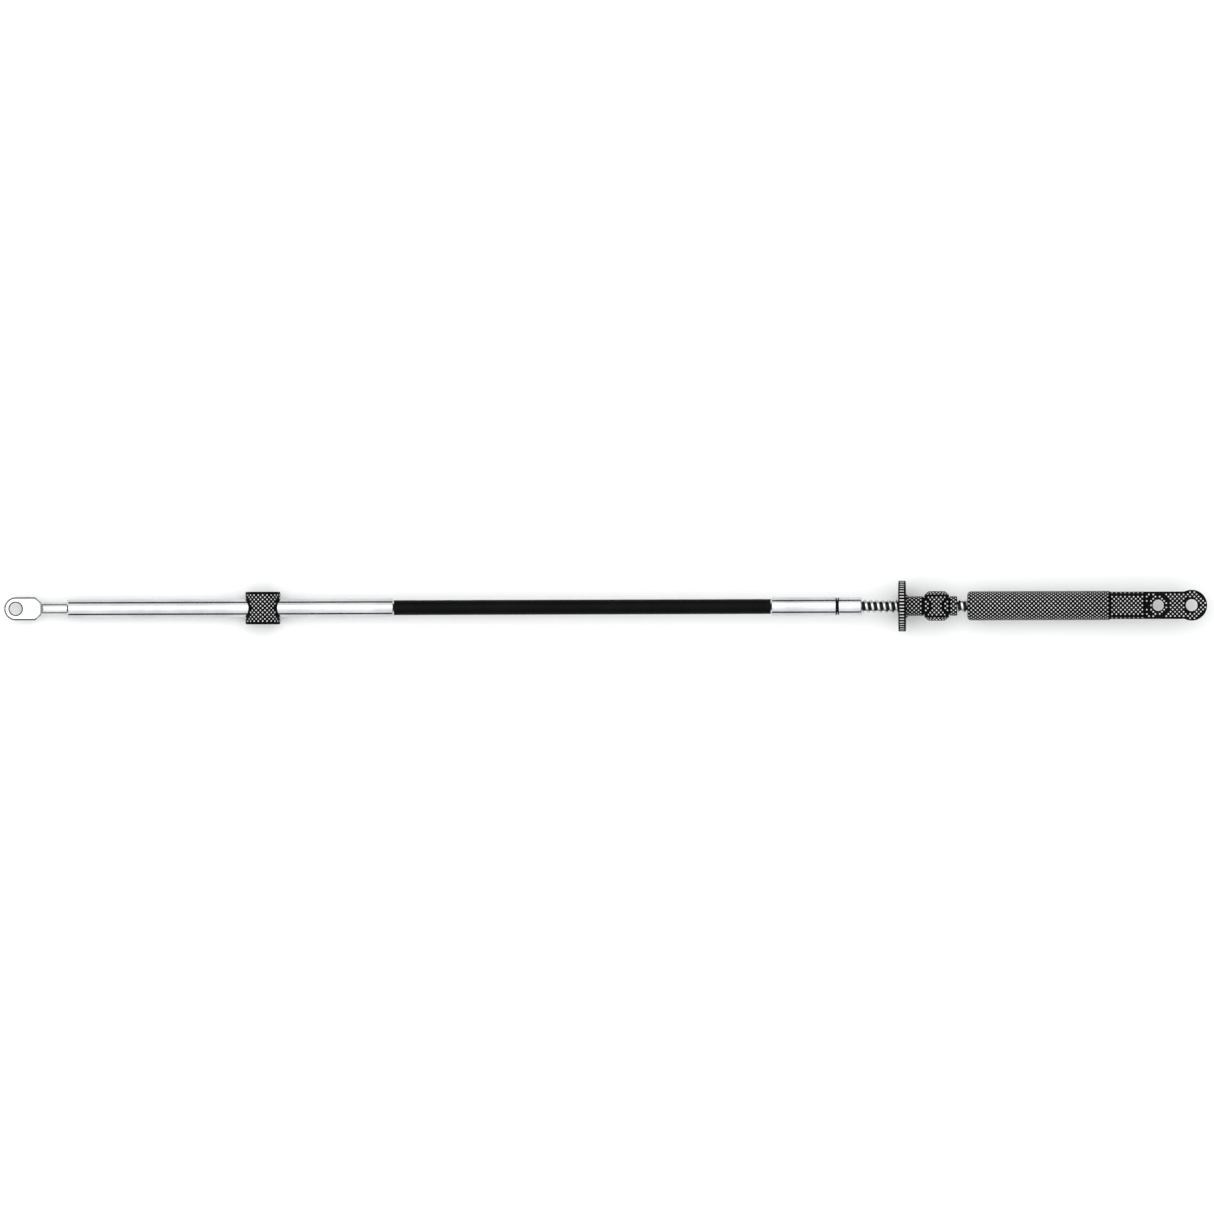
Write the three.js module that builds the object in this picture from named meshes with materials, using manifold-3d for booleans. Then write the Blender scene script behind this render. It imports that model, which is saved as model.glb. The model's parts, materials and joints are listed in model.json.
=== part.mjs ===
// A push-pull engine control cable: eye and sleeve at the control end, threaded adjuster and guide at the engine end.
// Millimetres, +Z up. The cable runs along X, from the eye's hole to the guide's end.
import * as THREE from "three";
import { mergeVertices } from "three/addons/utils/BufferGeometryUtils.js";
import Module from "manifold-3d";

// Clearances: fixed pieces that seat in each other, pieces that slide or turn, and the thread's flanks.
const SEAT_GAP = 0.3;
const RUNNING_GAP = 0.3;
const THREAD_GAP = 0.3;
const WIRE_GAP = 0.35;
const GUIDE_SLIDE_GAP = 0.4;

// Core wire, and the walls of what it runs in: rod socket, conduit, spigot and threaded tube.
const WIRE_DIAMETER = 3;
const ROD_WALL = 1.6;
const JACKET_WALL = 2.1;
const SPIGOT_WALL = 1.45;
const TUBE_WALL = 0.65;

// Eye and rod, measured along the cable from the centre of the eye's hole.
const EYE_HOLE = 6.35;
const EYE_RIM = 2.925;
const EYE_THICKNESS = 4;
const EYE_STRAIGHT = 10.3;
const EYE_SHOULDER = 3.1;
const FLAT_RUN_OUT = 3;
const ROD_SHOWN = 13.8;
const ROD_INSIDE = 60;
const ROD_SOCKET = 15;

// Control-end sleeve, and the trunnion hub on it.
const SLEEVE_WALL = 0.65;
const SLEEVE_LENGTH = 173.6;
const SLEEVE_SOCKET = 22;
const SLEEVE_EDGE = 0.6;
const HUB_WALL = 4.05;
const HUB_CHEEK = 3.45;
const HUB_STATION = 104;
const HUB_EDGE = 0.8;
const HUB_DISH = 1.1;

// Conduit, between the mouths of its two sleeves.
const JACKET_SHOWN = 200;

// Crimp sleeve, and the collar and spigot of the threaded tube behind it.
const CRIMP_LENGTH = 35.2;
const CRIMP_SOCKET = 24;
const CRIMP_EDGE = 0.6;
const COLLAR_LENGTH = 13;
const COLLAR_ROUND = 1.1;
const SPIGOT_LENGTH = 8;

// Thread: its pitch, depth and flats, how far it runs, and where the thumbwheel stands on it.
const THREAD_DEPTH = 1;
const THREAD_PITCH = 3.175;
const THREAD_CREST_FLAT = 1.05;
const THREAD_FLANK = 0.6;
const THREAD_LENGTH = 76;
const WHEEL_STATION = 19.3;

// Thumbwheel nut.
const WHEEL_FLANGE = 8.4;
const WHEEL_THICKNESS = 3.9;
const WHEEL_EDGE = 0.5;
const RIB_COUNT = 48;
const RIB_DEPTH = 0.55;
const NECK_STEP = 0.6;
const NECK_LENGTH = 9.5;
const NECK_FILLET = 2.2;
const JOURNAL_WALL = 0.7;
const END_COLLAR = 4;

// Adjuster barrel, and the round boss at each mouth of its bore, which stops a little inside the barrel's side.
const BARREL_WALL = 1.8;
const BARREL_BOSS_WALL = 0.8;
const BARREL_BOSS_STEP = 0.1;
const BARREL_CHEEK = 3;
const BARREL_EDGE = 2.2;

// End guide: bored tube, shoulder blade, flat blade with its boss, and eye.
const GUIDE_GAP = 5.4;
const GUIDE_WALL = 3.7;
const GUIDE_BORE_DEPTH = 70;
const GUIDE_BORE_END = 5.7;
const GUIDE_MOUTH_ROUND = 2;
const GUIDE_SOCKET = 12;
const SHOULDER_THICKNESS = 10;
const SHOULDER_LENGTH = 18.2;
const BLADE_THICKNESS = 6;
const BLADE_MARGIN = 1.7;
const PIN_HOLE = 6;
const PIN_BOSS = 2.55;
const PIN_SETBACK = 1.85;
const BOSS_HEIGHT = 0.5;
const END_HOLE = 6.35;
const END_RIM = 5;
const HOLE_WEB = 11.6;

// How far a cut or a joined form runs past the face that it crosses.
const OVERRUN = 1;

// Sides of the round forms.
const FINE = 48;
const COARSE = 24;
const THREAD_SIDES = 14;

// Radii, each worked out from what the piece fits in or round.
const wireRadius = WIRE_DIAMETER / 2;
const wirePassage = wireRadius + WIRE_GAP;
const wireSocket = wireRadius + SEAT_GAP;
const rodRadius = wireSocket + ROD_WALL;
const sleeveBore = rodRadius + RUNNING_GAP;
const jacketRadius = wirePassage + JACKET_WALL;
const jacketSocket = jacketRadius + SEAT_GAP;
const spigotRadius = wirePassage + SPIGOT_WALL;
const spigotSocket = spigotRadius + SEAT_GAP;
const sleeveRadius = Math.max(sleeveBore, jacketSocket, spigotSocket) + SLEEVE_WALL;
const hubBore = sleeveRadius + SEAT_GAP;
const hubRadius = hubBore + HUB_WALL;
const threadRoot = wirePassage + TUBE_WALL;
const threadRadius = threadRoot + THREAD_DEPTH;
const journalRadius = threadRadius + THREAD_GAP + JOURNAL_WALL;
const neckRadius = journalRadius + NECK_STEP;
const wheelRadius = neckRadius + WHEEL_FLANGE;
const barrelBore = journalRadius + RUNNING_GAP;
const barrelRadius = barrelBore + BARREL_WALL;
const guideBore = threadRadius + GUIDE_SLIDE_GAP;
const guideRadius = guideBore + GUIDE_WALL;
const eyeRadius = EYE_HOLE / 2 + EYE_RIM;
const bossRadius = PIN_HOLE / 2 + PIN_BOSS;
const bladeWidth = 2 * (bossRadius + BLADE_MARGIN);
const guideTube = GUIDE_BORE_DEPTH + GUIDE_BORE_END;

// Stations along the cable, worked out from the lengths.
const shoulderEnd = EYE_STRAIGHT + EYE_SHOULDER;
const sleeveStart = shoulderEnd + ROD_SHOWN;
const rodEnd = sleeveStart + ROD_INSIDE;
const hubCentre = sleeveStart + HUB_STATION;
const jacketMouth = sleeveStart + SLEEVE_LENGTH;
const crimpStart = jacketMouth + JACKET_SHOWN;
const collarStart = crimpStart + CRIMP_LENGTH + SEAT_GAP;
const threadStart = collarStart + COLLAR_LENGTH;
const wheelStart = threadStart + WHEEL_STATION;
const neckEnd = wheelStart + WHEEL_THICKNESS + NECK_LENGTH;
const barrelCentre = neckEnd + RUNNING_GAP + barrelRadius;
const endCollarStart = barrelCentre + barrelRadius + RUNNING_GAP;
const nutEnd = endCollarStart + END_COLLAR;
const guideStart = nutEnd + GUIDE_GAP;

const wasm = await Module();
wasm.setup();

// A closed geometry as a solid that can be joined and cut.
function solid(geometry) {
  const bare = geometry.clone();
  bare.deleteAttribute("normal");
  bare.deleteAttribute("uv");
  const merged = mergeVertices(bare, 1e-4);
  return new wasm.Manifold(
    new wasm.Mesh({
      numProp: 3,
      vertProperties: merged.getAttribute("position").array,
      triVerts: new Uint32Array(merged.index.array),
    }),
  );
}

// The geometry of a solid.
function geometryOf(made) {
  const { vertProperties, triVerts } = made.getMesh();
  const geometry = new THREE.BufferGeometry();
  geometry.setAttribute("position", new THREE.BufferAttribute(vertProperties, 3));
  geometry.setIndex(new THREE.BufferAttribute(triVerts, 1));
  geometry.computeVertexNormals();
  return geometry;
}

// Points round an arc in an outline of [along, radius] pairs, angles in degrees.
function arc(along, radius, size, from, to, steps) {
  return Array.from({ length: steps + 1 }, (_, i) => {
    const angle = THREE.MathUtils.degToRad(from + ((to - from) * i) / steps);
    return [along + size * Math.cos(angle), radius + size * Math.sin(angle)];
  });
}

// A form turned about Y from a closed outline of [along, radius] pairs, in either order.
function turnedAcross(outline, sides) {
  const points = outline.map(([along, radius]) => new THREE.Vector2(radius, along));
  if (THREE.ShapeUtils.area(points) < 0) points.reverse();
  const hollow = points.every((point) => point.x > 0);
  return new THREE.LatheGeometry(hollow ? [...points, points[0]] : points, sides);
}

// The same, turned about the cable's own axis.
function turned(outline, sides) {
  return turnedAcross(outline, sides).rotateZ(-Math.PI / 2);
}

// A round bar from one station to another.
function bar(from, to, radius, sides) {
  return turned([[from, 0], [from, radius], [to, radius], [to, 0]], sides);
}

// A flat piece of an outline seen from above, centred on the cable's axis.
function plate(shape, thickness) {
  return new THREE.ExtrudeGeometry(shape, {
    depth: thickness,
    bevelEnabled: false,
    curveSegments: COARSE,
  }).translate(0, 0, -thickness / 2);
}

// A rectangle seen from above, centred across the cable.
function strip(from, to, width) {
  const half = width / 2;
  return new THREE.Shape([
    new THREE.Vector2(from, -half),
    new THREE.Vector2(to, -half),
    new THREE.Vector2(to, half),
    new THREE.Vector2(from, half),
  ]);
}

// An upright round bar through the flat pieces, for a hole or a boss.
function upright(station, radius, height) {
  const post = new THREE.CylinderGeometry(radius, radius, height, FINE).rotateX(Math.PI / 2);
  return solid(post.translate(station, 0, 0));
}

// A right-handed screw about X, grown all over by a gap and running past both ends of its length. It is local
// to an origin on the cable, but its phase is counted from the start of the thread, so that threads mate.
function screw(origin, length, gap) {
  const crest = threadRadius + gap;
  const root = threadRoot + gap;
  const ridge = THREAD_CREST_FLAT + 2 * gap;
  const rootFlat = THREAD_PITCH - ridge - 2 * THREAD_FLANK;
  const turn = [
    [-rootFlat / 2, root],
    [rootFlat / 2, root],
    [rootFlat / 2 + THREAD_FLANK, crest],
    [rootFlat / 2 + THREAD_FLANK + ridge, crest],
  ];
  const turns = Math.ceil(length / THREAD_PITCH) + 4;
  const first = ((threadStart - origin) % THREAD_PITCH) - 2 * THREAD_PITCH;
  const rows = turns * turn.length;
  const positions = [];
  for (let row = 0; row <= rows; row++) {
    const [along, radius] = turn[row % turn.length];
    for (let side = 0; side < THREAD_SIDES; side++) {
      const share = side / THREAD_SIDES;
      const angle = share * 2 * Math.PI;
      const x = first + along + (Math.floor(row / turn.length) + share) * THREAD_PITCH;
      positions.push(x, radius * Math.cos(angle), radius * Math.sin(angle));
    }
  }
  // Past the last side, a row goes on as the row one turn further along.
  const at = (row, side) =>
    side < THREAD_SIDES ? row * THREAD_SIDES + side : (row + turn.length) * THREAD_SIDES;
  const faces = [];
  const lastRow = rows - turn.length;
  for (let row = 0; row < lastRow; row++)
    for (let side = 0; side < THREAD_SIDES; side++) {
      const [a, b, c, d] = [at(row, side), at(row + 1, side), at(row + 1, side + 1), at(row, side + 1)];
      faces.push(a, c, b, a, d, c);
    }
  // Each ragged end is closed by a fan to a point on the axis.
  const close = (row, turnedRound) => {
    const rim = Array.from({ length: THREAD_SIDES + 1 }, (_, side) => at(row, side));
    for (let step = turn.length - 1; step > 0; step--) rim.push(at(row + step, 0));
    const centre = positions.length / 3;
    positions.push(positions[3 * at(row, 0)] + THREAD_PITCH / 2, 0, 0);
    rim.forEach((vertex, i) => {
      const next = rim[(i + 1) % rim.length];
      faces.push(...(turnedRound ? [centre, next, vertex] : [centre, vertex, next]));
    });
  };
  close(0, true);
  close(lastRow, false);
  const geometry = new THREE.BufferGeometry();
  geometry.setAttribute("position", new THREE.Float32BufferAttribute(positions, 3));
  geometry.setIndex(faces);
  return solid(geometry);
}

function eyeTerminal() {
  const outline = new THREE.Shape();
  outline.absarc(0, 0, eyeRadius, Math.PI / 2, (3 * Math.PI) / 2);
  outline.lineTo(EYE_STRAIGHT, -eyeRadius);
  outline.lineTo(shoulderEnd, -rodRadius);
  outline.lineTo(shoulderEnd, rodRadius);
  outline.lineTo(EYE_STRAIGHT, eyeRadius);
  outline.closePath();
  const flat = solid(plate(outline, EYE_THICKNESS));
  // The round rod is planed down to the eye's thickness, and the flats run out on a slope.
  const side = new THREE.Shape();
  const low = EYE_THICKNESS / 2;
  const high = rodRadius;
  const runOut = shoulderEnd + FLAT_RUN_OUT;
  side.moveTo(EYE_STRAIGHT, -low);
  side.lineTo(shoulderEnd, -low);
  side.lineTo(runOut, -high);
  side.lineTo(runOut, -2 * high);
  side.lineTo(rodEnd + OVERRUN, -2 * high);
  side.lineTo(rodEnd + OVERRUN, 2 * high);
  side.lineTo(runOut, 2 * high);
  side.lineTo(runOut, high);
  side.lineTo(shoulderEnd, low);
  side.lineTo(EYE_STRAIGHT, low);
  side.closePath();
  const planed = solid(plate(side, 4 * rodRadius).rotateX(Math.PI / 2));
  const rod = solid(bar(EYE_STRAIGHT, rodEnd, rodRadius, COARSE)).intersect(planed);
  const socket = solid(bar(rodEnd - ROD_SOCKET, rodEnd + OVERRUN, wireSocket, COARSE));
  return flat.add(rod).subtract(upright(0, EYE_HOLE / 2, 2 * EYE_THICKNESS)).subtract(socket);
}

function controlEndSleeve() {
  const end = SLEEVE_LENGTH;
  return turned(
    [
      [0, sleeveBore],
      [0, sleeveRadius - SLEEVE_EDGE],
      [SLEEVE_EDGE, sleeveRadius],
      [end - SLEEVE_EDGE, sleeveRadius],
      [end, sleeveRadius - SLEEVE_EDGE / 2],
      [end, jacketSocket],
      [end - SLEEVE_SOCKET, jacketSocket],
      [end - SLEEVE_SOCKET, sleeveBore],
    ],
    COARSE,
  );
}

function trunnionHub() {
  const half = hubBore + HUB_CHEEK;
  const barrel = solid(
    turnedAcross(
      [
        [-half, 0],
        [-half, hubRadius - HUB_EDGE],
        [-half + HUB_EDGE, hubRadius],
        [half - HUB_EDGE, hubRadius],
        [half, hubRadius - HUB_EDGE],
        [half, 0],
      ],
      FINE,
    ),
  );
  // The hole for the sleeve opens out where it breaks through the round side.
  const past = hubRadius + HUB_DISH;
  const wide = hubBore + 2 * HUB_DISH;
  const hole = solid(
    turned(
      [
        [-past, 0],
        [-past, wide],
        [-past + 2 * HUB_DISH, hubBore],
        [past - 2 * HUB_DISH, hubBore],
        [past, wide],
        [past, 0],
      ],
      COARSE,
    ),
  );
  return barrel.subtract(hole);
}

function conduitJacket() {
  const from = -SLEEVE_SOCKET + SEAT_GAP;
  const to = JACKET_SHOWN + CRIMP_SOCKET - SEAT_GAP;
  return turned([[from, wirePassage], [from, jacketRadius], [to, jacketRadius], [to, wirePassage]], COARSE);
}

function engineEndSleeve() {
  const end = CRIMP_LENGTH;
  const stop = end - SPIGOT_LENGTH - SEAT_GAP;
  return turned(
    [
      [0, jacketSocket],
      [0, sleeveRadius - CRIMP_EDGE / 2],
      [CRIMP_EDGE / 2, sleeveRadius],
      [end - CRIMP_EDGE, sleeveRadius],
      [end, sleeveRadius - CRIMP_EDGE],
      [end, spigotSocket],
      [stop, spigotSocket],
      [stop, wirePassage],
      [CRIMP_SOCKET, wirePassage],
      [CRIMP_SOCKET, jacketSocket],
    ],
    COARSE,
  );
}

function threadedTube() {
  const collar = solid(
    turned(
      [
        [-SPIGOT_LENGTH, 0],
        [-SPIGOT_LENGTH, spigotRadius],
        [0, spigotRadius],
        [0, sleeveRadius - CRIMP_EDGE],
        [CRIMP_EDGE, sleeveRadius],
        ...arc(COLLAR_LENGTH - COLLAR_ROUND, sleeveRadius - COLLAR_ROUND, COLLAR_ROUND, 90, 0, 3),
        [COLLAR_LENGTH, 0],
      ],
      COARSE,
    ),
  );
  const end = COLLAR_LENGTH + THREAD_LENGTH;
  const envelope = solid(
    turned(
      [
        [COLLAR_LENGTH - OVERRUN, 0],
        [COLLAR_LENGTH - OVERRUN, 2 * threadRadius],
        [end - THREAD_DEPTH, 2 * threadRadius],
        [end - THREAD_DEPTH, threadRadius],
        [end, threadRoot],
        [end, 0],
      ],
      COARSE,
    ),
  );
  const passage = solid(bar(-SPIGOT_LENGTH - OVERRUN, end + OVERRUN, wirePassage, COARSE));
  return collar.add(screw(collarStart, end, 0).intersect(envelope)).subtract(passage);
}

function thumbwheelNut() {
  // Ribbed rim: a crest and a valley for each rib, cut to a disc with chamfered edges.
  const rim = new THREE.Shape(
    Array.from({ length: 4 * RIB_COUNT }, (_, i) => {
      const radius = i % 4 < 2 ? wheelRadius : wheelRadius - RIB_DEPTH;
      const angle = ((i - 0.5) / (4 * RIB_COUNT)) * 2 * Math.PI;
      return new THREE.Vector2(radius * Math.cos(angle), radius * Math.sin(angle));
    }),
  );
  const ribbed = new THREE.ExtrudeGeometry(rim, { depth: WHEEL_THICKNESS, bevelEnabled: false });
  const disc = turned(
    [
      [0, 0],
      [0, wheelRadius - WHEEL_EDGE],
      [2 * WHEEL_EDGE, wheelRadius + WHEEL_EDGE],
      [WHEEL_THICKNESS - 2 * WHEEL_EDGE, wheelRadius + WHEEL_EDGE],
      [WHEEL_THICKNESS, wheelRadius - WHEEL_EDGE],
      [WHEEL_THICKNESS, 0],
    ],
    FINE,
  );
  const wheel = solid(ribbed.rotateY(Math.PI / 2)).intersect(solid(disc));
  // Neck, journal in the adjuster barrel, and the collar that keeps the barrel on.
  const [shoulder, catchFace, end] = [neckEnd, endCollarStart, nutEnd].map((x) => x - wheelStart);
  const stem = turned(
    [
      [WHEEL_THICKNESS / 2, 0],
      [WHEEL_THICKNESS / 2, neckRadius + NECK_FILLET],
      ...arc(WHEEL_THICKNESS + NECK_FILLET, neckRadius + NECK_FILLET, NECK_FILLET, 180, 270, 5),
      [shoulder, neckRadius],
      [shoulder, journalRadius],
      [catchFace, journalRadius],
      [catchFace, neckRadius],
      [end, neckRadius],
      [end, 0],
    ],
    FINE,
  );
  return wheel.add(solid(stem)).subtract(screw(wheelStart, end, THREAD_GAP));
}

function adjusterBarrel() {
  const half = barrelBore + BARREL_CHEEK;
  const block = turnedAcross(
    [
      [-half, 0],
      [-half, barrelRadius - BARREL_EDGE],
      [-half + BARREL_EDGE, barrelRadius],
      [half - BARREL_EDGE, barrelRadius],
      [half, barrelRadius - BARREL_EDGE],
      [half, 0],
    ],
    FINE,
  );
  const mouth = barrelRadius - BARREL_BOSS_STEP;
  const boss = bar(-mouth, mouth, barrelBore + BARREL_BOSS_WALL, FINE);
  const hole = bar(-2 * barrelRadius, 2 * barrelRadius, barrelBore, COARSE);
  return solid(block).add(solid(boss)).subtract(solid(hole));
}

function endGuide() {
  const tube = turned(
    [
      [0, 0],
      ...arc(GUIDE_MOUTH_ROUND, guideRadius - GUIDE_MOUTH_ROUND, GUIDE_MOUTH_ROUND, 180, 90, 4),
      [guideTube, guideRadius],
      [guideTube, 0],
    ],
    FINE,
  );
  const shoulderStop = guideTube + SHOULDER_LENGTH;
  const pinStation = shoulderStop + PIN_SETBACK + bossRadius;
  const endStation = pinStation + PIN_HOLE / 2 + HOLE_WEB + END_HOLE / 2;
  const socketEnd = GUIDE_BORE_DEPTH + GUIDE_SOCKET;
  const shoulder = plate(strip(guideTube - OVERRUN, shoulderStop, bladeWidth), SHOULDER_THICKNESS);
  const roundedShoulder = solid(shoulder).intersect(solid(bar(0, endStation, guideRadius, FINE)));
  const blade = plate(strip(guideTube, endStation, bladeWidth), BLADE_THICKNESS);
  return solid(tube)
    .add(roundedShoulder)
    .add(solid(blade))
    .add(upright(pinStation, bossRadius, BLADE_THICKNESS + 2 * BOSS_HEIGHT))
    .add(upright(endStation, END_HOLE / 2 + END_RIM, BLADE_THICKNESS))
    .subtract(upright(pinStation, PIN_HOLE / 2, 2 * BLADE_THICKNESS))
    .subtract(upright(endStation, END_HOLE / 2, 2 * BLADE_THICKNESS))
    .subtract(solid(bar(-OVERRUN, GUIDE_BORE_DEPTH, guideBore, COARSE)))
    .subtract(solid(bar(GUIDE_BORE_DEPTH - OVERRUN, socketEnd, wireSocket, COARSE)));
}

function coreWire() {
  const from = rodEnd - ROD_SOCKET + SEAT_GAP;
  const to = guideStart + GUIDE_BORE_DEPTH + GUIDE_SOCKET - SEAT_GAP;
  return bar(from, to, wireRadius, COARSE / 2);
}

const steel = { color: 0xc9ccd0, roughness: 0.3, metalness: 1 };
const polyethylene = { color: 0x161719, roughness: 0.45, metalness: 0 };
const nylon = { color: 0x1e1f22, roughness: 0.55, metalness: 0 };

const cable = new THREE.Group();

// Puts a named piece at its station on the cable.
function place(name, made, station, finish) {
  const geometry = made.isBufferGeometry ? made : geometryOf(made);
  const mesh = new THREE.Mesh(geometry, new THREE.MeshStandardMaterial(finish));
  mesh.name = name;
  mesh.position.x = station;
  cable.add(mesh);
}

place("eye_terminal", eyeTerminal(), 0, steel);
place("control_end_sleeve", controlEndSleeve(), sleeveStart, steel);
place("trunnion_hub", trunnionHub(), hubCentre, nylon);
place("conduit_jacket", conduitJacket(), jacketMouth, polyethylene);
place("core_wire", coreWire(), 0, steel);
place("engine_end_sleeve", engineEndSleeve(), crimpStart, steel);
place("threaded_tube", threadedTube(), collarStart, steel);
place("thumbwheel_nut", thumbwheelNut(), wheelStart, nylon);
place("adjuster_barrel", adjusterBarrel(), barrelCentre, nylon);
place("end_guide", endGuide(), guideStart, nylon);

// Unheld, the cable lies on the hub's round side and on the near edge of the thumbwheel's rim.
const reach = wheelStart + WHEEL_EDGE - hubCentre;
const lean = Math.acos(hubRadius / Math.hypot(wheelRadius, reach)) - Math.atan2(reach, wheelRadius);
cable.rotation.y = -lean;
const box = new THREE.Box3().setFromObject(cable, true);
cable.position.set(-(box.min.x + box.max.x) / 2, 0, -box.min.z);

const part = new THREE.Group();
part.add(cable);
export default part;
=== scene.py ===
"""Dresses a push-pull engine control cable: steel fittings, black conduit and pipped nylon mouldings."""

import json
import logging
import math
from collections.abc import Callable, Sequence
from dataclasses import dataclass, field
from enum import Enum

import bpy
from mathutils import Matrix, Vector


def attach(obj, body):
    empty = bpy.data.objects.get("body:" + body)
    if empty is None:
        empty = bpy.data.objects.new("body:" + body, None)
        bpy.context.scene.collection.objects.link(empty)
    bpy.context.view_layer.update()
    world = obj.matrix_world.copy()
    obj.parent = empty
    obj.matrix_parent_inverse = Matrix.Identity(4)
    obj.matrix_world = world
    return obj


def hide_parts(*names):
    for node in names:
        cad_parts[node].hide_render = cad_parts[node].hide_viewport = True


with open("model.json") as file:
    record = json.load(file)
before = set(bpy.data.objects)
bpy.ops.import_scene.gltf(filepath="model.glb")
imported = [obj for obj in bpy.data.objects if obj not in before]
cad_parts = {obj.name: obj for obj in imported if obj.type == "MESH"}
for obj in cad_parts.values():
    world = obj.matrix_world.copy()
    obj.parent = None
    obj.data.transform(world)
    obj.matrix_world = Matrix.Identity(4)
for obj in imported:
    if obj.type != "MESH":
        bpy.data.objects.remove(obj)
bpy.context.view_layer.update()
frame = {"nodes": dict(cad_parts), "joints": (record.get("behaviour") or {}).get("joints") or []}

MM = 0.001
SMOOTH_ANGLE = math.radians(32)
# Two places this close, in mm, are one.
NEAR = 1e-4
# Broken edges of the steel pieces: how wide, and how deep they drop, a little under 45 degrees.
EDGE = 0.75
EDGE_DROP = 0.6
Outline = Sequence[tuple[float, ...]]
Object = bpy.types.Object
Socket = bpy.types.NodeSocket
log = logging.getLogger("cable")


class Body(Enum):
    """The moving bodies of the cable, by the names that the frame gives them."""

    CONDUIT = "conduit"
    CORE = "core"
    EYE = "eye"
    GUIDE = "guide"
    BARREL = "barrel"
    NUT = "nut"


class Join(Enum):
    """How a second solid changes the first."""

    ADD = "UNION"
    CUT = "DIFFERENCE"
    KEEP = "INTERSECT"


def cable_frame() -> Matrix:
    """Gives the matrix from the cable's own millimetres, counted from the eye's hole, to the stored frame.

    Returns:
        The matrix, with the cable's line along the core's slide and the eye's hole at the eye's joint.
    """
    joints = {joint["name"]: joint for joint in frame["joints"]}
    along = Vector(joints["core_slide"]["axis"]).normalized()
    across = Vector((0, 1, 0))
    turn = Matrix((along, across, along.cross(across))).transposed().to_4x4()
    return Matrix.Translation(joints["eye_turn"]["pos_m"]) @ turn @ Matrix.Scale(MM, 4)


LIE = cable_frame()


def only(obj: Object) -> Object:
    """Selects one object and nothing else, and makes it active."""
    bpy.ops.object.select_all(action="DESELECT")
    obj.select_set(True)
    bpy.context.view_layer.objects.active = obj
    return obj


def settle(obj: Object) -> Object:
    """Puts an object's own place, turn and scale into its mesh."""
    only(obj)
    bpy.ops.object.transform_apply(location=True, rotation=True, scale=True)
    return obj


def turn_across(obj: Object) -> Object:
    """Turns a piece from along the cable to across it."""
    obj.rotation_euler.z = math.pi / 2
    return settle(obj)


def move_along(obj: Object, along: float) -> Object:
    """Moves a piece along the cable."""
    obj.location.x = along
    return settle(obj)


def leave_edit_mode() -> None:
    """Turns every face outward and goes back to object mode."""
    bpy.ops.mesh.select_all(action="SELECT")
    bpy.ops.mesh.normals_make_consistent(inside=False)
    bpy.ops.object.mode_set(mode="OBJECT")


def rounded(outline: Outline, steps: int = 4) -> list[tuple[float, float]]:
    """Rounds the corners of an outline.

    Args:
        outline: (along, radius) pairs in mm; a third value is how far from the corner its round begins.
        steps: the stretches in each round.

    Returns:
        The outline's points with each rounded corner drawn as a curve.
    """
    points: list[tuple[float, float]] = []
    for index, (along, radius, *size) in enumerate(outline):
        if not size:
            points.append((along, radius))
            continue
        corner = Vector((along, radius))
        before = Vector(outline[index - 1][:2])
        after = Vector(outline[(index + 1) % len(outline)][:2])
        start = corner + (before - corner).normalized() * size[0]
        end = corner + (after - corner).normalized() * size[0]
        for step in range(steps + 1):
            share = step / steps
            point = start.lerp(corner, share).lerp(corner.lerp(end, share), share)
            points.append((point.x, point.y))
    return points


def extrude_rings(points: Sequence[tuple[float, float]]) -> None:
    """Extrudes the selected ring from point to point along X, and scales it to each radius."""
    for (last_along, last_radius), (along, radius) in zip(points, points[1:]):
        bpy.ops.mesh.extrude_region_move(TRANSFORM_OT_translate={"value": (along - last_along, 0, 0)})
        grown = radius / last_radius
        bpy.ops.transform.resize(value=(1, grown, grown), center_override=(along, 0, 0))


def ring(name: str, along: float, radius: float, sides: int, filled: bool) -> Object:
    """Adds a circle square to the cable, filled for a bar or open for a tube."""
    bpy.ops.object.select_all(action="DESELECT")
    bpy.ops.mesh.primitive_circle_add(
        vertices=sides,
        radius=radius,
        fill_type="NGON" if filled else "NOTHING",
        location=(along, 0, 0),
        rotation=(0, math.pi / 2, 0),
    )
    obj = settle(bpy.context.object)
    obj.name = obj.data.name = name
    return obj


def turned(name: str, outline: Outline, sides: int = 96, hollow: bool = False) -> Object:
    """Turns an outline about the cable's axis.

    Args:
        name: the piece's name.
        outline: (along, radius) pairs in mm, with rounds as rounded() reads them.
        sides: how many sides the round form has.
        hollow: whether the outline closes on itself, as a tube's wall does.

    Returns:
        The finished form, in the cable's millimetres.
    """
    points = rounded(outline)
    if hollow:
        points.append(points[0])
    obj = ring(name, *points[0], sides, filled=not hollow)
    bpy.ops.object.mode_set(mode="EDIT")
    bpy.ops.mesh.select_all(action="SELECT")
    extrude_rings(points)
    bpy.ops.mesh.select_all(action="SELECT")
    bpy.ops.mesh.remove_doubles(threshold=NEAR)
    leave_edit_mode()
    return obj


def upright_bar(name: str, along: float, radius: float, height: float) -> Object:
    """Adds an upright round bar, to cut a hole or to raise a boss."""
    bpy.ops.object.select_all(action="DESELECT")
    bpy.ops.mesh.primitive_cylinder_add(vertices=96, radius=radius, depth=height, location=(along, 0, 0))
    obj = settle(bpy.context.object)
    obj.name = name
    return obj


def flat_piece(name: str, low: Vector, high: Vector) -> Object:
    """Adds a rectangular block between two corners."""
    bpy.ops.object.select_all(action="DESELECT")
    bpy.ops.mesh.primitive_cube_add(size=1, location=(low + high) / 2)
    obj = bpy.context.object
    obj.scale = high - low
    obj.name = obj.data.name = name
    return settle(obj)


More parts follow.
